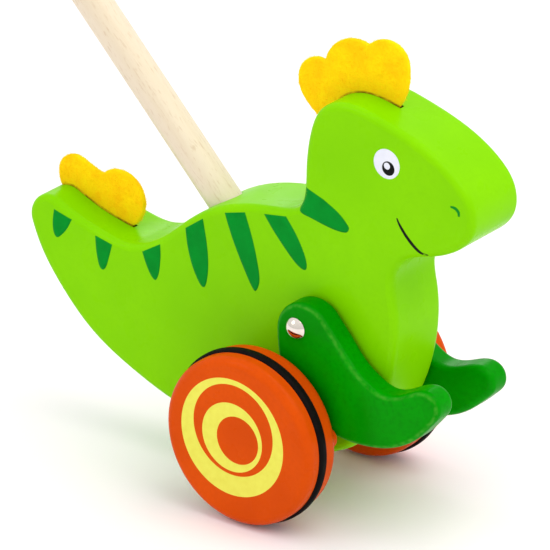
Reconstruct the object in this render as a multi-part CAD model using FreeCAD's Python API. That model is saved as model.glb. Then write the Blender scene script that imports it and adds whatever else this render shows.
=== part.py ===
import FreeCAD, Part
import math
import os

# Push-along dinosaur: a thick wooden body on two wheels, steered by a long stick.
# Units are millimetres. The origin is on the floor under the axle, in the middle plane.
# +X points to the nose, +Y to the animal's left and +Z up.

Vector = FreeCAD.Vector

# ---------------------------------------------------------------- driving dimensions
SIDES = {"right": -1, "left": 1}
FIT_GAP = 0.08              # radial clearance of a shaft that turns in a hole
BODY_GAP = 0.3              # clearance between pieces that move past each other
CUT_OVERRUN = 1.0           # how far a cutting shape runs past the face it cuts
PLANE_TOLERANCE = 1e-4

BODY_HALF_THICKNESS = 16.0
BODY_EDGE_RADIUS = 3.0

WHEEL_RADIUS = 35.8
WHEEL_EDGE_RADIUS = 3.8
WHEEL_INNER_Y = 30.6
WHEEL_OUTER_Y = 50.0
RING_RADIUS = 37.0          # the rubber ring carries the toy, so it stands proud of the wood
RING_DEPTH = 3.6
RING_INNER_Y = 38.5
RING_OUTER_Y = 43.3
RING_EDGE_RADIUS = 1.8

AXLE_HEIGHT = RING_RADIUS
AXLE_RADIUS = 3.0
AXLE_END_Y = 44.5
AXLE_CHAMFER = 0.6
SPACER_RADIUS = 16.8        # its rim is the stop that a lowered leg leans on
SPACER_EDGE_RADIUS = 1.2

PEG_ORBIT = 30.0            # distance from the axle to the lifting peg
PEG_ANGLE = {"right": 6.0, "left": 186.0}
PEG_RADIUS = 4.5
PEG_REACH = 1.9             # how far the peg stands out of the wheel
PEG_SOCKET = 7.0
PEG_EDGE_RADIUS = 0.8

PIVOT_X = 13.1
PIVOT_Z = 82.5
PIVOT_ROD_RADIUS = 2.0
LEG_INNER_Y = 16.8
LEG_OUTER_Y = 28.3
LEG_EDGE_RADIUS = 2.6
LEG_LIFT = {"right": 0.0, "left": -6.5}     # degrees of toe lift in the stored pose
LEG_SET_BACK = {"right": 0.0, "left": 2.6}  # the left leg is drilled a little further forward
CAP_RADIUS = 4.6
CAP_HEIGHT = 2.5
PIVOT_ROD_IN_CAP = 1.2
WASHER_RADIUS = 7.0
WASHER_THICKNESS = 0.5

STICK_RADIUS = 7.25
STICK_LEAN = 43.1           # degrees back from vertical
STICK_FOOT = (-42.7, 114.0)   # where the stick's axis meets the back
STICK_VISIBLE = 490.0
STICK_IN_BODY = 34.0
STICK_IN_KNOB = 20.0
SOCKET_RADIUS = 7.5
SOCKET_DEPTH = 35.0
STICK_CHAMFER = 0.8
KNOB_RADIUS = 18.0
KNOB_COLLAR_RADIUS = 11.0
KNOB_COLLAR_LENGTH = 6.0
KNOB_EDGE_RADIUS = 1.5

FELT_HALF_THICKNESS = 1.2
SLOT_HALF_WIDTH = 1.35
SLOT_END_GAP = 1.0

# ---------------------------------------------------------------- outlines, as (x, z)
TAIL_TIP = (-121.4, 91.4)
TAIL_TIP_RADIUS = 10.0
TAIL_TIP_SWEEP = (200.0, 132.0, 65.0)     # degrees: under the tip, round it, and on to the back

# From the tail along the back, over the head, round the nose and back under the belly.
BODY_OUTLINE = [
    (-105.3, 95.4), (-93.3, 92), (-81.3, 90.4), (-70.3, 93.4), (-56.8, 103.2), (-41.9, 114.6),
    (-26.3, 121.2), (-11.3, 124.2), (-0.3, 125.8), (4.9, 128.6), (7.2, 134.4), (7.9, 145.4),
    (9.7, 159.9), (15.3, 172.2), (26.7, 177.2), (43.7, 174.9), (63.7, 168.2), (79.8, 158.6),
    (88.1, 147.8), (88, 136.4), (80.5, 128), (66.7, 121.9), (55.5, 117.4), (50.6, 108.9),
    (51.8, 96.4), (52.5, 81.4), (48.7, 60.4), (38.6, 38.8), (33.3, 32.4), (24.2, 26.8), (4.7, 21),
    (-14.3, 19.9), (-37.3, 21.6), (-59.8, 26.9), (-78.3, 34.3), (-100.2, 46.8), (-115, 61.3),
    (-127.9, 80.6),
]

# One leg in the right leg's stored pose, from the front of the hip down to the toe and the heel.
HIP_CENTRE = (16.5, 80.1)
HIP_RADIUS = 13.5
HIP_SWEEP = (182.0, 110.0, 40.0)
LEG_OUTLINE = [
    (33.3, 81.4), (40.1, 73.3), (48, 67.4), (56, 64.8), (64, 67), (70, 70.1), (75.5, 71.3),
    (80.4, 68.9), (81.9, 63.2), (78.6, 57.7), (71.1, 49.6), (65.5, 45.5), (58.5, 42.2), (51.5, 40.4),
    (45, 39.7), (39, 39.6), (33.5, 40.3), (28, 42.3), (21.5, 47), (11.5, 55), (4.8, 66),
]

# Felt crests: each lobe is one curve through its points, and the glued foot sits in the slot.
HEAD_CREST_LOBES = [
    [(4.2, 162), (-2.1, 167.3), (-5.6, 173.5), (-5.3, 180), (-1.3, 185), (7.2, 186)],
    [(7.2, 186), (9.6, 191.8), (13.6, 195.7), (19.4, 198.1), (27.8, 197.3)],
    [(27.8, 197.3), (33.6, 200.9), (40.5, 200.8), (45.7, 196.8), (47.3, 190), (46.4, 182.2), (42.3, 174)],
]
HEAD_CREST_FOOT = [(40.3, 168), (27, 170.5), (19, 166.5), (15, 158)]
TAIL_CREST_LOBES = [
    [(-125, 99), (-127.3, 105.2), (-125.9, 111.5), (-119.6, 115.2), (-112.8, 113.4), (-104.6, 110.4)],
    [(-104.6, 110.4), (-95.8, 114), (-87.4, 110.8), (-83.5, 103.5), (-84.9, 95.8), (-90, 90.8)],
]
TAIL_CREST_FOOT = [(-91.8, 84.6), (-106, 87.5), (-120, 91.5)]


# ---------------------------------------------------------------- helpers
def at(x, z, y=0.0):
    return Vector(x, y, z)


def on_circle(centre, radius, degrees):
    angle = math.radians(degrees)
    return (centre[0] + radius * math.cos(angle), centre[1] + radius * math.sin(angle))


def arc(points):
    return Part.Arc(*[at(x, z) for x, z in points]).toShape()


def smooth(points):
    spline = Part.BSplineCurve()
    spline.interpolate([at(x, z) for x, z in points])
    return spline.toShape()


def lines(points):
    return [Part.makeLine(at(*a), at(*b)) for a, b in zip(points, points[1:])]


def arc_about(centre, radius, sweep):
    """Arc through the three angles of sweep, with the clockwise tangents at its two ends."""
    edge = arc([on_circle(centre, radius, degrees) for degrees in sweep])
    tangents = []
    for degrees in (sweep[0], sweep[-1]):
        angle = math.radians(degrees)
        tangents.append(at(math.sin(angle), -math.cos(angle)))
    return edge, tangents


def smooth_edge(points, start_tangent, end_tangent):
    spline = Part.BSplineCurve()
    spline.interpolate(
        Points=[at(x, z) for x, z in points],
        InitialTangent=start_tangent,
        FinalTangent=end_tangent,
        Scale=False,
    )
    return spline.toShape()


def tangent_loop(centre, radius, sweep, points):
    """Closed outline: an arc, and one smooth curve through points that joins its two ends."""
    round_end, (tangent_in, tangent_out) = arc_about(centre, radius, sweep)
    first = on_circle(centre, radius, sweep[-1])
    last = on_circle(centre, radius, sweep[0])
    flank = smooth_edge([first] + points + [last], tangent_out, tangent_in)
    return Part.Wire([round_end, flank])


def slab(wire, y_low, y_high):
    face = Part.Face(wire)
    face.translate(Vector(0, y_low, 0))
    return face.extrude(Vector(0, y_high - y_low, 0))


def rim_edges(shape, y_levels):
    """Edges that lie wholly in one of the planes y = level."""
    found = []
    for edge in shape.Edges:
        box = edge.BoundBox
        for level in y_levels:
            if max(abs(box.YMin - level), abs(box.YMax - level)) < PLANE_TOLERANCE:
                found.append(edge)
    return found


def rod(radius, start, end):
    """Cylinder between two points."""
    along = end - start
    return Part.makeCylinder(radius, along.Length, start, along)


def side_rod(radius, x, z, y_a, y_b):
    return rod(radius, at(x, z, min(y_a, y_b)), at(x, z, max(y_a, y_b)))


def turned_about_pivot(shape, lift):
    """Copy of shape with its toe end lifted about the leg pivot."""
    turned = shape.copy()
    turned.rotate(at(PIVOT_X, PIVOT_Z), Vector(0, -1, 0), lift)
    return turned


def stick_point(distance):
    """Point on the stick's axis, counted from the back of the body towards the knob."""
    lean = math.radians(STICK_LEAN)
    return at(STICK_FOOT[0] - distance * math.sin(lean), STICK_FOOT[1] + distance * math.cos(lean))


def crest_wire(lobes, foot):
    """Lobes above the body, closed by the straight-edged foot that sits in the slot."""
    edges = [smooth(points) for points in lobes]
    edges += lines([lobes[-1][-1]] + foot + [lobes[0][0]])
    return Part.Wire(edges)


# ---------------------------------------------------------------- fixed pieces
def make_crest(lobes, foot):
    return slab(crest_wire(lobes, foot), -FELT_HALF_THICKNESS, FELT_HALF_THICKNESS)


def make_slot(lobes, foot):
    """Saw slot that a crest is glued into, a little longer and wider than the felt."""
    corners = [point for lobe in lobes for point in lobe[:-1]] + [lobes[-1][-1]] + foot
    roomy = Part.Wire(lines(corners + corners[:1])).makeOffset2D(SLOT_END_GAP)
    return slab(roomy, -SLOT_HALF_WIDTH, SLOT_HALF_WIDTH)


def make_body():
    outline = tangent_loop(TAIL_TIP, TAIL_TIP_RADIUS, TAIL_TIP_SWEEP, BODY_OUTLINE)
    body = slab(outline, -BODY_HALF_THICKNESS, BODY_HALF_THICKNESS)
    rims = rim_edges(body, (-BODY_HALF_THICKNESS, BODY_HALF_THICKNESS))
    body = body.makeFillet(BODY_EDGE_RADIUS, rims)
    through = BODY_HALF_THICKNESS + CUT_OVERRUN
    cuts = [
        side_rod(AXLE_RADIUS + FIT_GAP, 0, AXLE_HEIGHT, -through, through),
        side_rod(PIVOT_ROD_RADIUS, PIVOT_X, PIVOT_Z, -through, through),
        rod(SOCKET_RADIUS, stick_point(-SOCKET_DEPTH), stick_point(SOCKET_DEPTH)),
        make_slot(HEAD_CREST_LOBES, HEAD_CREST_FOOT),
        make_slot(TAIL_CREST_LOBES, TAIL_CREST_FOOT),
    ]
    for cut in cuts:
        body = body.cut(cut)
    return body


def make_push_stick():
    stick = rod(STICK_RADIUS, stick_point(-STICK_IN_BODY), stick_point(STICK_VISIBLE + STICK_IN_KNOB))
    return stick.makeChamfer(STICK_CHAMFER, [e for e in stick.Edges if e.Closed])


def make_grip_knob():
    """Turned ball with a short collar, drilled for the end of the stick."""
    collar_start = stick_point(STICK_VISIBLE)
    ball_sink = math.sqrt(KNOB_RADIUS ** 2 - KNOB_COLLAR_RADIUS ** 2)
    centre = stick_point(STICK_VISIBLE + KNOB_COLLAR_LENGTH + ball_sink)
    collar = rod(KNOB_COLLAR_RADIUS, collar_start, centre)
    lowest_rim = min((e for e in collar.Edges if e.Closed), key=lambda e: e.BoundBox.ZMin)
    collar = collar.makeFillet(KNOB_EDGE_RADIUS, [lowest_rim])
    knob = collar.fuse(Part.makeSphere(KNOB_RADIUS, centre)).removeSplitter()
    hole_end = stick_point(STICK_VISIBLE + STICK_IN_KNOB)
    return knob.cut(rod(STICK_RADIUS, stick_point(STICK_VISIBLE - CUT_OVERRUN), hole_end))


def make_pivot_rod():
    reach = LEG_OUTER_Y + BODY_GAP + PIVOT_ROD_IN_CAP
    return side_rod(PIVOT_ROD_RADIUS, PIVOT_X, PIVOT_Z, -reach, reach)


def make_pivot_cap(side):
    """Domed push-on cap with a blind hole for the end of the pivot rod."""
    base = LEG_OUTER_Y + BODY_GAP
    rod_end = base + PIVOT_ROD_IN_CAP
    sphere_radius = (CAP_RADIUS ** 2 + CAP_HEIGHT ** 2) / (2 * CAP_HEIGHT)
    centre_y = side * (base + CAP_HEIGHT - sphere_radius)
    ball = Part.makeSphere(sphere_radius, at(PIVOT_X, PIVOT_Z, centre_y))
    dome = ball.common(side_rod(CAP_RADIUS, PIVOT_X, PIVOT_Z, side * base, side * (base + CAP_HEIGHT)))
    hole_start = side * (base - CUT_OVERRUN)
    return dome.cut(side_rod(PIVOT_ROD_RADIUS, PIVOT_X, PIVOT_Z, hole_start, side * rod_end))


def make_leg_washer(side):
    inner = side * BODY_HALF_THICKNESS
    outer = side * (BODY_HALF_THICKNESS + WASHER_THICKNESS)
    disc = side_rod(WASHER_RADIUS, PIVOT_X, PIVOT_Z, inner, outer)
    return disc.cut(side_rod(PIVOT_ROD_RADIUS, PIVOT_X, PIVOT_Z, inner, outer))


# ---------------------------------------------------------------- legs
def make_leg(side, lift, set_back):
    outline = tangent_loop(HIP_CENTRE, HIP_RADIUS, HIP_SWEEP, LEG_OUTLINE)
    outline.translate(at(-set_back, 0))
    y_low, y_high = sorted((side * LEG_INNER_Y, side * LEG_OUTER_Y))
    leg = slab(outline, y_low, y_high)
    leg = leg.makeFillet(LEG_EDGE_RADIUS, rim_edges(leg, (y_low, y_high)))
    leg = leg.cut(side_rod(PIVOT_ROD_RADIUS + FIT_GAP, PIVOT_X, PIVOT_Z, y_low, y_high))
    return turned_about_pivot(leg, lift)


# ---------------------------------------------------------------- wheel set
def peg_centre(name):
    return on_circle((0, AXLE_HEIGHT), PEG_ORBIT, PEG_ANGLE[name])


def make_wheel(name, side):
    inner = side * WHEEL_INNER_Y
    outer = side * WHEEL_OUTER_Y
    wheel = side_rod(WHEEL_RADIUS, 0, AXLE_HEIGHT, inner, outer)
    wheel = wheel.makeFillet(WHEEL_EDGE_RADIUS, rim_edges(wheel, (inner, outer)))
    groove_span = (side * RING_INNER_Y, side * RING_OUTER_Y)
    groove = side_rod(WHEEL_RADIUS + CUT_OVERRUN, 0, AXLE_HEIGHT, *groove_span)
    groove_floor = side_rod(RING_RADIUS - RING_DEPTH, 0, AXLE_HEIGHT, *groove_span)
    wheel = wheel.cut(groove.cut(groove_floor))
    wheel = wheel.cut(side_rod(AXLE_RADIUS, 0, AXLE_HEIGHT, inner, side * AXLE_END_Y))
    peg_x, peg_z = peg_centre(name)
    return wheel.cut(side_rod(PEG_RADIUS, peg_x, peg_z, inner, inner + side * PEG_SOCKET))


def make_tyre_ring(side):
    span = (side * RING_INNER_Y, side * RING_OUTER_Y)
    band = side_rod(RING_RADIUS, 0, AXLE_HEIGHT, *span)
    band = band.makeFillet(RING_EDGE_RADIUS, rim_edges(band, span))
    return band.cut(side_rod(RING_RADIUS - RING_DEPTH, 0, AXLE_HEIGHT, *span))


def make_lift_peg(name, side):
    tip = side * (WHEEL_INNER_Y - PEG_REACH)
    root = side * (WHEEL_INNER_Y + PEG_SOCKET)
    peg_x, peg_z = peg_centre(name)
    peg = side_rod(PEG_RADIUS, peg_x, peg_z, tip, root)
    return peg.makeFillet(PEG_EDGE_RADIUS, rim_edges(peg, (tip,)))


def make_hub_spacer(side):
    inner = side * (BODY_HALF_THICKNESS + BODY_GAP)
    outer = side * WHEEL_INNER_Y
    spacer = side_rod(SPACER_RADIUS, 0, AXLE_HEIGHT, inner, outer)
    spacer = spacer.makeFillet(SPACER_EDGE_RADIUS, rim_edges(spacer, (inner,)))
    return spacer.cut(side_rod(AXLE_RADIUS, 0, AXLE_HEIGHT, inner, outer))


def make_axle():
    axle = side_rod(AXLE_RADIUS, 0, AXLE_HEIGHT, -AXLE_END_Y, AXLE_END_Y)
    return axle.makeChamfer(AXLE_CHAMFER, rim_edges(axle, (-AXLE_END_Y, AXLE_END_Y)))


# ---------------------------------------------------------------- the whole toy
def make_all():
    nodes = {
        "body": make_body(),
        "push_stick": make_push_stick(),
        "grip_knob": make_grip_knob(),
        "head_crest": make_crest(HEAD_CREST_LOBES, HEAD_CREST_FOOT),
        "tail_crest": make_crest(TAIL_CREST_LOBES, TAIL_CREST_FOOT),
        "pivot_rod": make_pivot_rod(),
        "axle": make_axle(),
    }
    for name, side in SIDES.items():
        nodes[name + "_leg"] = make_leg(side, LEG_LIFT[name], LEG_SET_BACK[name])
        nodes[name + "_pivot_cap"] = make_pivot_cap(side)
        nodes[name + "_leg_washer"] = make_leg_washer(side)
        nodes[name + "_wheel"] = make_wheel(name, side)
        nodes[name + "_tyre_ring"] = make_tyre_ring(side)
        nodes[name + "_lift_peg"] = make_lift_peg(name, side)
        nodes[name + "_hub_spacer"] = make_hub_spacer(side)
    return nodes


os.makedirs("parts", exist_ok=True)
for node, shape in make_all().items():
    shape.exportStep("parts/" + node + ".step")
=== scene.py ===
import bpy
import bmesh
import math
import random
from mathutils import Matrix, Vector, noise
from mathutils.bvhtree import BVHTree


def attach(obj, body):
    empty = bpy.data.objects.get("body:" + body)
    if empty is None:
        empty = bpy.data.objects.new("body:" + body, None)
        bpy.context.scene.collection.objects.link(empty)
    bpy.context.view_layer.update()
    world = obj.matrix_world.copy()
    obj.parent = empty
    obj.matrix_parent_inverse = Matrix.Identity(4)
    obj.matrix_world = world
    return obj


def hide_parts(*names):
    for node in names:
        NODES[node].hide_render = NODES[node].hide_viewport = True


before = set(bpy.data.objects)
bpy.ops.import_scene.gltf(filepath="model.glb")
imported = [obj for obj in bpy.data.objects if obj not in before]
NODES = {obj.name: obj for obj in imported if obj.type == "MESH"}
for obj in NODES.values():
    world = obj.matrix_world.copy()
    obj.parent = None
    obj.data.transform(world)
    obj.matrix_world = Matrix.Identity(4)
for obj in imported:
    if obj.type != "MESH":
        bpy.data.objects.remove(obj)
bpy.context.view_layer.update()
MM = 0.001

# ---------------------------------------------------------------- places, in millimetres
AXLE_HEIGHT = 37.0
WHEEL_FACE = 50.0           # distance of a wheel's outer face from the middle plane
RING_DEPTH = 0.1            # the printed rings stay within this depth of that face
LEG_FACE = 28.3             # distance of a leg's outer face from the middle plane
HIGHLIGHT_WEAR_INNER = (1.3, 0.6)     # depths behind that face where the paler edge, a painted highlight with some wear, starts and is full
HIGHLIGHT_WEAR_OUTER = (0.05, 0.3)    # depths behind that face where that paler edge has ended and is full
SLOT_REACH = 2.0            # the felt slots lie within this distance of the middle plane
SLOT_FACING = 0.7           # faces in a slot that look aside more than this are its walls
STICK_LEAN = math.radians(43.1)

# Outlines printed on both sides of the body, as (x, z). Each stripe starts with the two ends
# of its top edge and then runs round its tip.
STRIPES = [
    [(-118.0, 96.6), (-108.9, 94.2), (-111.8, 89), (-116.1, 84.7), (-118.2, 86.1), (-118.8, 90.8)],
    [(-96.8, 90.3), (-88.2, 88.4), (-89.7, 82.9), (-91.4, 77.9), (-93.2, 76.2), (-95, 77.9),
     (-96.3, 83.6)],
    [(-72.7, 89.4), (-63.6, 94.9), (-63.4, 89.4), (-64.3, 82.2), (-66.1, 78.6), (-68.6, 80.4),
     (-71.1, 85.1)],
    [(-50.7, 105.3), (-41.9, 111.6), (-40, 101.5), (-39.3, 92.9), (-39.9, 85.8), (-41.4, 81.9),
     (-43.9, 83.3), (-47.5, 90.1), (-49.7, 97.9)],
    [(-30.9, 116.9), (-20.9, 119.6), (-17.5, 110.1), (-15, 100.8), (-13.7, 92.2), (-15.4, 87.1),
     (-17.5, 88.3), (-21.8, 95.8), (-26.4, 105.1), (-29.3, 112.2)],
    [(-11.4, 121.3), (-0.6, 122.9), (4.3, 116.5), (8.2, 109.4), (9.6, 104.4), (8.4, 102.2),
     (4.3, 104), (-1.4, 109.4), (-7.2, 115.8)],
    [(9.1, 137.8), (17.8, 134.7), (25, 130.8), (29.3, 126.9), (30, 125.1), (28.2, 123.3),
     (22.1, 123.3), (12.8, 125.1), (6.1, 127.1), (8.2, 132.9)],
]
STRIPE_SIDE_STEPS = 7       # points on the curve between two corners of a stripe
STRIPE_TOP_STEPS = 12       # parts of a stripe's straight top edge

# Round prints, as a centre and a radius.
EYE_WHITE = ((48.0, 157.3), 6.2)
EYE_PUPIL = ((48.8, 155.6), 2.95)
EYE_GLINT = ((48.2, 156.5), 1.45)
CIRCLE_CORNERS = 72

# Pen lines, as the points they run through and the widths they have on the way.
NOSTRIL = [(78.4, 146.9), (80.6, 146.7), (82.1, 145.5), (82.4, 143.7)]
NOSTRIL_WIDTHS = (0.7, 1.3, 1.3, 0.8)
MOUTH = [(53, 135.7), (54.5, 133), (57.6, 129.2), (61.5, 125.7), (64.9, 123.8), (67.8, 123.6)]
MOUTH_WIDTHS = (0.5, 1.2, 1.4, 1.2, 0.5)
STROKE_STEPS = 8

# Printed rings on the wheels, as (x, z) offsets from the axle and radii: outer disc, inner disc.
WHEEL_RINGS = [
    ((-2.1, 1.9), 25.2, (-1.6, 5.15), 19.6),
    ((-2.1, 1.9), 14.8, (0.6, 1.25), 10.2),
]

# Coats of printed paint on the body.
FILM = 0.05                 # height of one coat
FILM_FILL = 0.8             # part of that height that is solid, clear of what lies under it
FILM_START = 30             # distance from the middle plane where a print sets out
FILM_EDGE_LIMITS = (8, 4, 2, 1.2, 1.2)  # longest edge left uncut, one pass after another

# Felt crests.
FELT_VOXEL = 0.5
FELT_SMOOTHINGS = 3
FELT_LUMPS = ((700, 0.07), (1900, 0.06))  # noise per metre, and its height
FELT_PINCH = 0.15           # how much thinner the felt is where the slot grips it
PINCH_REACH = 6.0           # distance from the body where the pinch has ended
SLOT_SHADE_LAYER = "slot_shade"         # mesh layer of painted shade: 1 where the felt stands in its slot, 0 above
FOOT_REACH = 0.9            # distance from the body where the felt's foot in its slot, with its painted shade, has ended
FOOT_FADE = 0.5             # distance over which that painted shade goes from nothing to full
FIBRES = 11000
FIBRE_ROOT = 0.1            # depth of a fibre's root in the felt
FIBRE_BEND = (0.8, 0.4)     # parts of its height and length that a fibre has at its bend
FLAT_SHARE = 0.8            # share of the fibres that lie flat
FLAT_HEIGHTS = (0.08, 0.45)
LOOSE_HEIGHTS = (0.5, 0.9)
FIBRE_LENGTHS = (0.5, 1.5)
FIBRE_THICKNESSES = (0.02, 0.035)
CREST_SEEDS = {"head_crest": 11, "tail_crest": 12}

# ---------------------------------------------------------------- light and camera, in metres
HORIZON_LIGHT = 0.88
ZENITH_LIGHT = 1.06
STUDIO_WHITE = (1.0, 0.972, 0.965, 1.0)
WARM_LIGHT = (1.0, 0.92, 0.82)
FLOOR_CELLS = 8
FLOOR_HALF_SIZE = 6.0
CAMERA_AZIMUTH = math.radians(36.54)
CAMERA_ELEVATION = math.radians(23.48)
CAMERA_DISTANCE = 2.49181
CAMERA_SHIFT_RIGHT = -0.014373
CAMERA_SHIFT_UP = 0.05070
CAMERA_RANGE = (0.1, 50)
FOCAL_LENGTH = 405.24       # in millimetres, as the sensor's width
SENSOR_WIDTH = 36

# ---------------------------------------------------------------- materials
PORE_TINT = (0.8, 0.68, 0.55)  # parts of the dark wood's red, green and blue in its pores
SHEEN_YELLOW = (1.0, 0.8, 0.05, 1.0)

# Places of the colour sockets on a mix node.
MIX_FIRST, MIX_SECOND, MIX_RESULT = 6, 7, 2


def linear(r, g, b):
    """Linear colour from 0 to 255 display values, by the sRGB curve."""
    def one(value):
        value /= 255
        return value / 12.92 if value <= 0.04045 else ((value + 0.055) / 1.055) ** 2.4
    return (one(r), one(g), one(b), 1.0)


def darker(tone, part):
    """The given part of a linear colour."""
    return tuple(part * c for c in tone[:3]) + (1.0,)


class Finish:
    """One node material, with short ways to add its nodes."""

    def __init__(self, name, roughness, **uniform):
        self.material = bpy.data.materials.new(name)
        self.material.use_nodes = True
        self.nodes = self.material.node_tree.nodes
        self.links = self.material.node_tree.links
        self.shader = self.nodes["Principled BSDF"]
        self.shader.inputs["Roughness"].default_value = roughness
        for socket, value in uniform.items():
            self.shader.inputs[socket.replace("_", " ")].default_value = value
        coordinates = self.nodes.new("ShaderNodeTexCoord").outputs
        self.place = coordinates["Object"]
        self.facing = coordinates["Normal"]

    def mapped(self, scale=(1, 1, 1), turn=(0, 0, 0), vector=None):
        node = self.nodes.new("ShaderNodeMapping")
        node.inputs["Scale"].default_value = scale
        node.inputs["Rotation"].default_value = turn
        self.links.new(vector or self.place, node.inputs["Vector"])
        return node.outputs["Vector"]

    def noise(self, scale, detail, vector=None, distortion=0.0):
        node = self.nodes.new("ShaderNodeTexNoise")
        node.inputs["Scale"].default_value = scale
        node.inputs["Detail"].default_value = detail
        node.inputs["Distortion"].default_value = distortion
        self.links.new(vector or self.place, node.inputs["Vector"])
        return node.outputs["Fac"]

    def streaks(self, scale, detail, distortion=0.0, vector=None):
        """Noise with its own scale along each axis."""
        return self.noise(1.0, detail, self.mapped(scale=scale, vector=vector), distortion)

    def spread(self, value, low, high, to_low=0.0, to_high=1.0):
        """Moves the range low to high onto the range to_low to to_high."""
        node = self.nodes.new("ShaderNodeMapRange")
        self.links.new(value, node.inputs["Value"])
        ends = {"From Min": low, "From Max": high, "To Min": to_low, "To Max": to_high}
        for socket, number in ends.items():
            node.inputs[socket].default_value = number
        return node.outputs["Result"]

    def mix(self, factor, first, second):
        node = self.nodes.new("ShaderNodeMix")
        node.data_type = "RGBA"
        self.links.new(factor, node.inputs["Factor"])
        for place, colour in ((MIX_FIRST, first), (MIX_SECOND, second)):
            if isinstance(colour, tuple):
                node.inputs[place].default_value = colour
            else:
                self.links.new(colour, node.inputs[place])
        return node.outputs[MIX_RESULT]

    def math(self, operation, first, second):
        node = self.nodes.new("ShaderNodeMath")
        node.operation = operation
        for socket, value in zip(node.inputs, (first, second)):
            if isinstance(value, (int, float)):
                socket.default_value = value
            else:
                self.links.new(value, socket)
        return node.outputs["Value"]

    def disc(self, centre, radius):
        """1 inside a round bar along Y at centre, an (x, z) in millimetres."""
        flat = self.mapped(scale=(1, 0, 1))
        node = self.nodes.new("ShaderNodeVectorMath")
        node.operation = "DISTANCE"
        self.links.new(flat, node.inputs[0])
        node.inputs[1].default_value = (centre[0] * MM, 0, centre[1] * MM)
        return self.math("LESS_THAN", node.outputs["Value"], radius * MM)

    def sideways(self, vector):
        """Size of the Y part: distance from the middle plane, or how much a face looks aside."""
        axes = self.nodes.new("ShaderNodeSeparateXYZ")
        self.links.new(vector, axes.inputs["Vector"])
        return self.math("ABSOLUTE", axes.outputs["Y"], 0.0)

    def bump(self, height, strength, distance_mm):
        """Adds one more layer of relief over those the shader has."""
        node = self.nodes.new("ShaderNodeBump")
        node.inputs["Strength"].default_value = strength
        node.inputs["Distance"].default_value = distance_mm * MM
        self.links.new(height, node.inputs["Height"])
        if self.shader.inputs["Normal"].is_linked:
            self.links.new(self.shader.inputs["Normal"].links[0].from_socket, node.inputs["Normal"])
        self.links.new(node.outputs["Normal"], self.shader.inputs["Normal"])

    def colour(self, value):
        self.links.new(value, self.shader.inputs["Base Color"])

    def plain(self):
        """The colour the shader has so far."""
        return self.shader.inputs["Base Color"].links[0].from_socket

    def roughness(self, value):
        self.links.new(value, self.shader.inputs["Roughness"])

    def specular(self, level):
        self.shader.inputs["Specular IOR Level"].default_value = level


def painted_wood(name, tone, deep, mottle=0.5):
    """Semi-gloss paint over wood: faint grain, small mottling and a light orange peel."""
    finish = Finish(name, roughness=0.3, Coat_Weight=0.02, Coat_Roughness=0.08)
    finish.specular(0.035)
    cloud = finish.spread(finish.noise(scale=38, detail=4), low=0.35, high=0.7)
    speck = finish.spread(finish.noise(scale=520, detail=2), low=0.45, high=0.75, to_high=mottle)
    finish.colour(finish.mix(speck, finish.mix(cloud, tone, deep), deep))
    haze = finish.noise(scale=90, detail=3)
    finish.roughness(finish.spread(haze, low=0.3, high=0.7, to_low=0.24, to_high=0.38))
    grain = finish.streaks(scale=(14, 160, 160), detail=5, distortion=0.4)
    finish.bump(grain, strength=0.25, distance_mm=0.12)
    finish.bump(finish.noise(scale=700, detail=2), strength=0.12, distance_mm=0.05)
    return finish


def orange_paint(name):
    """Orange paint, as on the wheels, the pegs and the knob."""
    return painted_wood(name, linear(214, 79, 5), linear(202, 71, 3))


def body_paint(name):
    """Light green paint, with bare scorched wood on the walls of the two felt slots."""
    finish = painted_wood(name, linear(131, 212, 0), linear(125, 206, 0))
    middle = finish.math("LESS_THAN", finish.sideways(finish.place), SLOT_REACH * MM)
    wall = finish.math("GREATER_THAN", finish.sideways(finish.facing), SLOT_FACING)
    char = finish.noise(scale=600, detail=3)
    scorch = finish.mix(char, linear(70, 48, 26), linear(36, 24, 14))
    finish.colour(finish.mix(finish.math("MULTIPLY", middle, wall), finish.plain(), scorch))
    return finish


def leg_paint(name):
    """Dark green paint, thinner and paler along the rounded edges of the outer face: a painted highlight
    there, together with some worn paint.
    """
    finish = painted_wood(name, linear(0, 149, 0), linear(0, 131, 0), mottle=0.8)
    out = finish.sideways(finish.place)
    rise, fall = [
        finish.spread(out, low=(LEG_FACE - start) * MM, high=(LEG_FACE - full) * MM)
        for start, full in (HIGHLIGHT_WEAR_INNER, HIGHLIGHT_WEAR_OUTER)
    ]
    patchy = finish.spread(finish.noise(scale=420, detail=4), low=0.35, high=0.65, to_high=0.28)
    # Painted highlight with some wear: patchy paler paint along the rounded edge of the outer face.
    highlight_and_wear = finish.math("MULTIPLY", finish.math("MULTIPLY", rise, fall), patchy)
    finish.colour(finish.mix(highlight_and_wear, finish.plain(), linear(110, 188, 70)))
    return finish


def wheel_paint(name):
    """Orange paint with two off-centre yellow rings printed on the outer faces."""
    finish = orange_paint(name)
    rings = []
    for outer_centre, outer_radius, inner_centre, inner_radius in WHEEL_RINGS:
        outer = finish.disc((outer_centre[0], AXLE_HEIGHT + outer_centre[1]), outer_radius)
        inner = finish.disc((inner_centre[0], AXLE_HEIGHT + inner_centre[1]), inner_radius)
        rings.append(finish.math("SUBTRACT", outer, inner))
    printed = finish.math("MAXIMUM", *rings)
    face = finish.math("GREATER_THAN", finish.sideways(finish.place), (WHEEL_FACE - RING_DEPTH) * MM)
    patchy = finish.spread(finish.noise(scale=300, detail=3), low=0.35, high=0.7)
    yellow = finish.mix(patchy, linear(229, 228, 93), linear(224, 221, 86))
    finish.colour(finish.mix(finish.math("MULTIPLY", printed, face), finish.plain(), yellow))
    return finish


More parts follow.
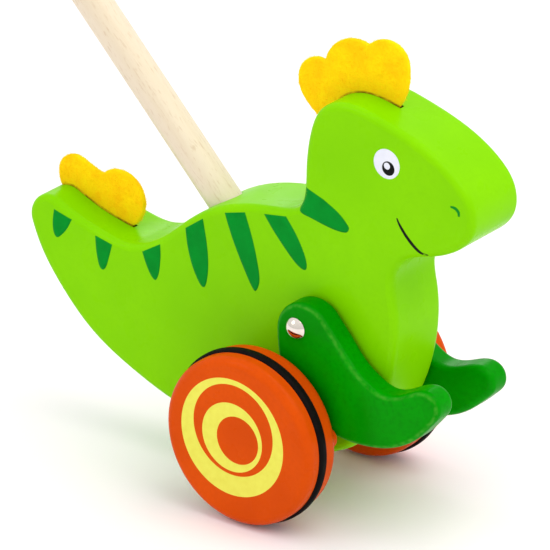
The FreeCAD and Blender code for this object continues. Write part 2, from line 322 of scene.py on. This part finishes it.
def bare_wood(name, pale, dark, turn):
    """Sanded wood with long grain lines and pores along its Z after the turn."""
    finish = Finish(name, roughness=0.5, Coat_Weight=0.15, Coat_Roughness=0.3)
    along = finish.mapped(turn=turn)
    grain = finish.streaks(scale=(420, 420, 9), detail=6, distortion=0.8, vector=along)
    bands = finish.streaks(scale=(70, 70, 2.5), detail=3, distortion=1.2, vector=along)
    pores = finish.streaks(scale=(1500, 1500, 230), detail=2, vector=along)
    tone = finish.mix(finish.spread(bands, low=0.35, high=0.7, to_high=0.5), pale, dark)
    tone = finish.mix(finish.spread(grain, low=0.5, high=0.8, to_high=0.4), tone, dark)
    deep = tuple(part * c for part, c in zip(PORE_TINT, dark)) + (1.0,)
    finish.colour(finish.mix(finish.spread(pores, low=0.57, high=0.72, to_high=0.45), tone, deep))
    finish.roughness(finish.spread(grain, low=0.3, high=0.7, to_low=0.42, to_high=0.58))
    finish.bump(grain, strength=0.3, distance_mm=0.05)
    finish.bump(pores, strength=0.2, distance_mm=0.04)
    return finish


def steel(name, tone, roughness, brushed):
    """Bright metal with fine lines, stretched as brushed says."""
    finish = Finish(name, roughness=roughness, Metallic=1.0)
    lines = finish.streaks(scale=brushed, detail=4)
    finish.colour(finish.mix(finish.spread(lines, low=0.3, high=0.7), tone, darker(tone, 0.9)))
    smooth, rough = roughness * 0.8, roughness * 1.3
    finish.roughness(finish.spread(lines, low=0.3, high=0.7, to_low=smooth, to_high=rough))
    finish.bump(lines, strength=0.08, distance_mm=0.01)
    return finish


def rubber(name):
    """Black rubber with a little dust."""
    finish = Finish(name, roughness=0.6)
    finish.specular(0.06)
    dust = finish.spread(finish.noise(scale=240, detail=5), low=0.5, high=0.8, to_high=0.6)
    finish.colour(finish.mix(dust, linear(12, 9, 9), linear(24, 19, 19)))
    haze = finish.noise(scale=180, detail=3)
    finish.roughness(finish.spread(haze, low=0.3, high=0.7, to_low=0.5, to_high=0.72))
    finish.bump(finish.noise(scale=1400, detail=2), strength=0.3, distance_mm=0.06)
    return finish


def plastic(name, tone):
    """Dull moulded plastic."""
    finish = Finish(name, roughness=0.5)
    finish.colour(finish.mix(finish.noise(scale=200, detail=3), tone, darker(tone, 0.85)))
    finish.bump(finish.noise(scale=900, detail=2), strength=0.15, distance_mm=0.03)
    return finish


def felt_wool(name):
    """Yellow felt with fine hairs, and painted shade: a dark line where it goes into its slot."""
    finish = Finish(name, roughness=0.95, Sheen_Weight=0.25, Sheen_Roughness=0.4, Sheen_Tint=SHEEN_YELLOW)
    finish.specular(0.15)
    cloud = finish.spread(finish.noise(scale=110, detail=5), low=0.4, high=0.62)
    hairs = finish.streaks(scale=(1500, 1500, 700), detail=4, distortion=2.0)
    tone = finish.mix(cloud, linear(255, 223, 0), linear(255, 208, 0))
    tone = finish.mix(finish.spread(hairs, low=0.45, high=0.75, to_high=0.5), tone, linear(255, 200, 0))
    # Painted shade: the felt is darker where it stands in its slot, for the shadow in the gap.
    slot_shade = finish.nodes.new("ShaderNodeAttribute")
    slot_shade.attribute_name = SLOT_SHADE_LAYER
    patchy = finish.noise(scale=260, detail=3)
    patchy = finish.spread(patchy, low=0.4, high=0.6, to_low=0.35, to_high=0.9)
    shade = finish.math("MULTIPLY", slot_shade.outputs["Fac"], patchy)
    finish.colour(finish.mix(shade, tone, linear(116, 82, 8)))
    finish.bump(hairs, strength=0.4, distance_mm=0.2)
    finish.bump(finish.noise(scale=600, detail=4), strength=0.3, distance_mm=0.2)
    return finish


def ink(name, tone, deep):
    """Printed colour lying on the body's paint."""
    finish = Finish(name, roughness=0.32, Coat_Weight=0.01, Coat_Roughness=0.08)
    finish.specular(0.03)
    cloud = finish.spread(finish.noise(scale=220, detail=4), low=0.35, high=0.7)
    finish.colour(finish.mix(cloud, tone, deep))
    haze = finish.noise(scale=90, detail=3)
    finish.roughness(finish.spread(haze, low=0.3, high=0.7, to_low=0.27, to_high=0.4))
    finish.bump(finish.noise(scale=700, detail=2), strength=0.12, distance_mm=0.04)
    return finish


def dress(node, finish):
    """Gives a CAD node a finish in place of its plain one, without changing its mesh."""
    for place in NODES[node].material_slots:
        place.link = "OBJECT"
        place.material = finish.material


# ---------------------------------------------------------------- geometry helpers
def add(name, data):
    """New object in the scene that shows data."""
    made = bpy.data.objects.new(name, data)
    bpy.context.scene.collection.objects.link(made)
    return made


def new_object(name, bm, finish, body="frame"):
    """Piece with the shape of bm, which is used up."""
    mesh = bpy.data.meshes.new(name)
    bm.to_mesh(mesh)
    bm.free()
    mesh.materials.append(finish.material)
    piece = add(name, mesh)
    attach(piece, body)
    return piece


def shade_smooth(bm):
    for face in bm.faces:
        face.smooth = True


def catmull(points, steps):
    """Points along a smooth curve through points."""
    last = len(points) - 1
    out = []
    for i in range(last):
        p = [points[max(0, min(last, i + k))] for k in (-1, 0, 1, 2)]
        for step in range(steps):
            t = step / steps
            out.append(tuple(
                0.5 * (2 * b + (c - a) * t + (2 * a - 5 * b + 4 * c - d) * t ** 2
                       + (3 * b - a - 3 * c + d) * t ** 3)
                for a, b, c, d in zip(*p)
            ))
    return out + [tuple(points[-1])]


def circle(centre, radius):
    """Corners of a round outline."""
    turns = [2 * math.pi * i / CIRCLE_CORNERS for i in range(CIRCLE_CORNERS)]
    return [(centre[0] + radius * math.cos(t), centre[1] + radius * math.sin(t)) for t in turns]


def stroke(points, widths):
    """Outline of a pen line through points that swells and tapers as widths says."""
    line = catmull(points, STROKE_STEPS)
    left, right = [], []
    for i, (x, z) in enumerate(line):
        ahead = line[min(i + 1, len(line) - 1)]
        behind = line[max(i - 1, 0)]
        along = Vector((ahead[0] - behind[0], ahead[1] - behind[1])).normalized()
        at = i / (len(line) - 1) * (len(widths) - 1)
        low = min(int(at), len(widths) - 2)
        half = 0.5 * (widths[low] + (widths[low + 1] - widths[low]) * (at - low))
        left.append((x - along.y * half, z + along.x * half))
        right.append((x + along.y * half, z - along.x * half))
    return left + right[::-1]


def tree_of(node):
    """Search tree over the faces of a CAD node."""
    bm = bmesh.new()
    bm.from_mesh(NODES[node].data)
    tree = BVHTree.FromBMesh(bm)
    bm.free()
    return tree


BODY_TREE = tree_of("body")


def film(name, outline, side, finish, coat=1):
    """Thin print of outline laid on one side of the body, following its rounded edge."""
    bm = bmesh.new()
    corners = [bm.verts.new((x * MM, side * FILM_START * MM, z * MM)) for x, z in outline]
    rim = [bm.edges.new((a, b)) for a, b in zip(corners, corners[1:] + corners[:1])]
    bmesh.ops.triangle_fill(bm, use_beauty=True, edges=rim)
    for limit in FILM_EDGE_LIMITS:
        long_ones = [e for e in bm.edges if e.calc_length() > limit * MM]
        bmesh.ops.subdivide_edges(bm, edges=long_ones, cuts=1)
        bmesh.ops.triangulate(bm, faces=bm.faces[:])
    for vert in bm.verts:
        hit, normal, _, _ = BODY_TREE.ray_cast(vert.co, Vector((0, -side, 0)))
        vert.co = hit + normal * (FILM * coat * MM)
    bmesh.ops.recalc_face_normals(bm, faces=bm.faces[:])
    if sum(f.normal.y * f.calc_area() for f in bm.faces) * side < 0:
        bmesh.ops.reverse_faces(bm, faces=bm.faces[:])
    shade_smooth(bm)
    piece = new_object(name, bm, finish)
    shell = piece.modifiers.new("coat", "SOLIDIFY")
    shell.thickness = FILM * FILM_FILL * MM
    shell.offset = -1


# ---------------------------------------------------------------- finishes of the CAD nodes
ORANGE = orange_paint("orange")
ROD_STEEL = steel("rod_steel", (0.6, 0.6, 0.61, 1.0), roughness=0.3, brushed=(900, 30, 900))
CHROME = steel("chrome", (0.80, 0.75, 0.67, 1.0), roughness=0.07, brushed=(900, 60, 900))
STICK_WOOD = bare_wood("stick_wood", linear(229, 218, 195), linear(212, 196, 166), (0, STICK_LEAN, 0))
TURNED_WOOD = bare_wood("turned_wood", linear(236, 212, 170), linear(206, 172, 124), (math.pi / 2, 0, 0))
SINGLE_FINISHES = {
    "body": body_paint("body_green"),
    "push_stick": STICK_WOOD,
    "grip_knob": ORANGE,
    "pivot_rod": ROD_STEEL,
    "axle": ROD_STEEL,
}
PAIRED_FINISHES = {
    "leg": leg_paint("leg_green"),
    "pivot_cap": CHROME,
    "leg_washer": plastic("washer", (0.75, 0.75, 0.72, 1.0)),
    "wheel": wheel_paint("wheel_orange"),
    "tyre_ring": rubber("ring_rubber"),
    "lift_peg": ORANGE,
    "hub_spacer": TURNED_WOOD,
}
SIDES = {"right": -1, "left": 1}

for node_name, node_finish in SINGLE_FINISHES.items():
    dress(node_name, node_finish)
for side_name in SIDES:
    for node_name, node_finish in PAIRED_FINISHES.items():
        dress(f"{side_name}_{node_name}", node_finish)

# ---------------------------------------------------------------- prints on the body
STRIPE_INK = ink("stripe_ink", linear(0, 142, 40), linear(0, 132, 36))
WHITE_INK = ink("white_ink", linear(228, 233, 243), linear(220, 226, 238))
BLACK_INK = ink("black_ink", linear(18, 20, 20), linear(26, 28, 28))

for side_name, side_sign in SIDES.items():
    for number, stripe in enumerate(STRIPES):
        flank = catmull(stripe[1:] + stripe[:1], STRIPE_SIDE_STEPS)
        start, end = Vector(stripe[0]), Vector(stripe[1])
        top = [tuple(start.lerp(end, i / STRIPE_TOP_STEPS)) for i in range(1, STRIPE_TOP_STEPS)]
        film(f"{side_name}_stripe_{number}", flank + top, side_sign, STRIPE_INK)
    film(side_name + "_eye_white", circle(*EYE_WHITE), side_sign, WHITE_INK)
    film(side_name + "_eye_pupil", circle(*EYE_PUPIL), side_sign, BLACK_INK, coat=2)
    film(side_name + "_eye_glint", circle(*EYE_GLINT), side_sign, WHITE_INK, coat=3)
    film(side_name + "_nostril", stroke(NOSTRIL, NOSTRIL_WIDTHS), side_sign, STRIPE_INK)
    film(side_name + "_mouth", stroke(MOUTH, MOUTH_WIDTHS), side_sign, BLACK_INK)


# ---------------------------------------------------------------- felt
def remeshed(node):
    """Even mesh of a CAD node, with its sharp edges smoothed away."""
    work = add(node + "_work", NODES[node].data.copy())
    remesh = work.modifiers.new("remesh", "REMESH")
    remesh.mode = "VOXEL"
    remesh.voxel_size = FELT_VOXEL * MM
    bm = bmesh.new()
    bm.from_object(work, bpy.context.evaluated_depsgraph_get())
    bpy.data.objects.remove(work)
    for _ in range(FELT_SMOOTHINGS):
        bmesh.ops.smooth_vert(
            bm, verts=bm.verts[:], factor=0.5, use_axis_x=True, use_axis_y=True, use_axis_z=True
        )
    bm.normal_update()
    return bm


def add_fibre(bm, root, normal, rng):
    """Closed three-sided spike that rises out of the felt and then lies over."""
    random_way = Vector([rng.uniform(-1, 1) for _ in range(3)])
    lie = (random_way - normal * random_way.dot(normal)).normalized()
    heights = FLAT_HEIGHTS if rng.random() < FLAT_SHARE else LOOSE_HEIGHTS
    height = rng.uniform(*heights)
    length = rng.uniform(*FIBRE_LENGTHS)
    thick = rng.uniform(*FIBRE_THICKNESSES) * MM
    across = normal.cross(lie).normalized() * thick
    rise, reach = FIBRE_BEND
    bend = root + (normal * height * rise + lie * length * reach) * MM
    corners = (across, -across, normal * thick - lie * thick)
    spots = (root - normal * FIBRE_ROOT * MM, bend)
    low, high = [[bm.verts.new(spot + corner) for corner in corners] for spot in spots]
    tip = bm.verts.new(root + (normal * height + lie * length) * MM)
    bm.faces.new(low)
    for i in range(len(corners)):
        bm.faces.new((low[i - 1], low[i], high[i], high[i - 1]))
        bm.faces.new((high[i - 1], high[i], tip))


def felt_crest(node, seed):
    """Felt cut-out: softened edges, a lumpy face, thinner in its slot, with loose fibres."""
    rng = random.Random(seed)
    bm = remeshed(node)
    slot_shade = bm.verts.layers.float.new(SLOT_SHADE_LAYER)
    for vert in bm.verts:
        away = BODY_TREE.find_nearest(vert.co)[3] / MM
        # Painted shade: the layer is 1 where the felt stands in its slot and fades out above it.
        vert[slot_shade] = min(1.0, max(0.0, (FOOT_REACH - away) / FOOT_FADE))
        vert.co.y *= 1 - FELT_PINCH * max(0.0, 1 - away / PINCH_REACH)
        lump = sum(noise.noise(vert.co * scale) * height for scale, height in FELT_LUMPS)
        vert.co += vert.normal * lump * MM
    shade_smooth(bm)
    bm.faces.ensure_lookup_table()
    areas = [face.calc_area() for face in bm.faces]
    picks = rng.choices(range(len(areas)), weights=areas, k=FIBRES)
    starts = [(bm.faces[i].calc_center_median(), bm.faces[i].normal.copy()) for i in picks]
    for root, normal in starts:
        if BODY_TREE.find_nearest(root)[3] >= FOOT_REACH * MM:
            add_fibre(bm, root, normal, rng)
    bmesh.ops.recalc_face_normals(bm, faces=bm.faces[:])
    piece = new_object(node + "_felt", bm, FELT)
    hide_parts(node)


FELT = felt_wool("felt_wool")
for crest, crest_seed in CREST_SEEDS.items():
    felt_crest(crest, crest_seed)


# ---------------------------------------------------------------- studio
def add_floor():
    """Pale paper under the toy."""
    bm = bmesh.new()
    bmesh.ops.create_grid(bm, x_segments=FLOOR_CELLS, y_segments=FLOOR_CELLS, size=FLOOR_HALF_SIZE)
    mesh = bpy.data.meshes.new("floor")
    bm.to_mesh(mesh)
    bm.free()
    finish = Finish("floor_paper", roughness=0.9)
    cloud = finish.noise(scale=3, detail=2)
    finish.colour(finish.mix(cloud, (0.93, 0.91, 0.955, 1.0), (0.91, 0.89, 0.935, 1.0)))
    mesh.materials.append(finish.material)
    floor = add("floor", mesh)


def add_area(name, place, aim, size, watts, colour=(1, 1, 1)):
    """Round soft lamp at place that shines towards aim."""
    lamp = bpy.data.lights.new(name, "AREA")
    lamp.shape = "DISK"
    lamp.size = size
    lamp.energy = watts
    lamp.color = colour
    holder = add(name, lamp)
    holder.location = place
    holder.rotation_mode = "QUATERNION"
    holder.rotation_quaternion = (Vector(aim) - Vector(place)).to_track_quat("-Z", "Y")


def add_world():
    """White studio that is brighter overhead than at the horizon."""
    world = bpy.data.worlds.new("studio")
    world.use_nodes = True
    nodes, links = world.node_tree.nodes, world.node_tree.links
    back = nodes["Background"]
    back.inputs["Color"].default_value = STUDIO_WHITE
    axes = nodes.new("ShaderNodeSeparateXYZ")
    links.new(nodes.new("ShaderNodeTexCoord").outputs["Generated"], axes.inputs["Vector"])
    rise = nodes.new("ShaderNodeMapRange")
    links.new(axes.outputs["Z"], rise.inputs["Value"])
    rise.inputs["To Min"].default_value = HORIZON_LIGHT
    rise.inputs["To Max"].default_value = ZENITH_LIGHT
    links.new(rise.outputs["Result"], back.inputs["Strength"])
    bpy.context.scene.world = world


def add_camera():
    """Long lens that looks down on the toy's right side from the front."""
    a, e = CAMERA_AZIMUTH, CAMERA_ELEVATION
    right = Vector((math.cos(a), math.sin(a), 0))
    back = Vector((math.sin(a) * math.cos(e), -math.cos(a) * math.cos(e), math.sin(e)))
    up = back.cross(right)
    camera = bpy.data.cameras.new("camera")
    camera.lens = FOCAL_LENGTH
    camera.sensor_width = SENSOR_WIDTH
    camera.clip_start, camera.clip_end = CAMERA_RANGE
    holder = add("camera", camera)
    turn = Matrix((right, up, back)).transposed().to_4x4()
    place = Vector((0, 0, AXLE_HEIGHT * MM)) + right * CAMERA_SHIFT_RIGHT + up * CAMERA_SHIFT_UP
    holder.matrix_world = Matrix.Translation(place + back * CAMERA_DISTANCE) @ turn
    bpy.context.scene.camera = holder


add_floor()
add_world()
add_area("key", place=(1.15, 0.1, 2.15), aim=(0, 0, 0.08), size=2.2, watts=25, colour=WARM_LIGHT)
add_area("rim", place=(-1.3, 1.75, 1.0), aim=(0, 0, 0.1), size=1.0, watts=6)
add_area("fill", place=(-1.2, -1.6, 1.6), aim=(0, 0, 0.08), size=1.2, watts=6)
add_camera()
bpy.context.scene.view_settings.view_transform = "Standard"
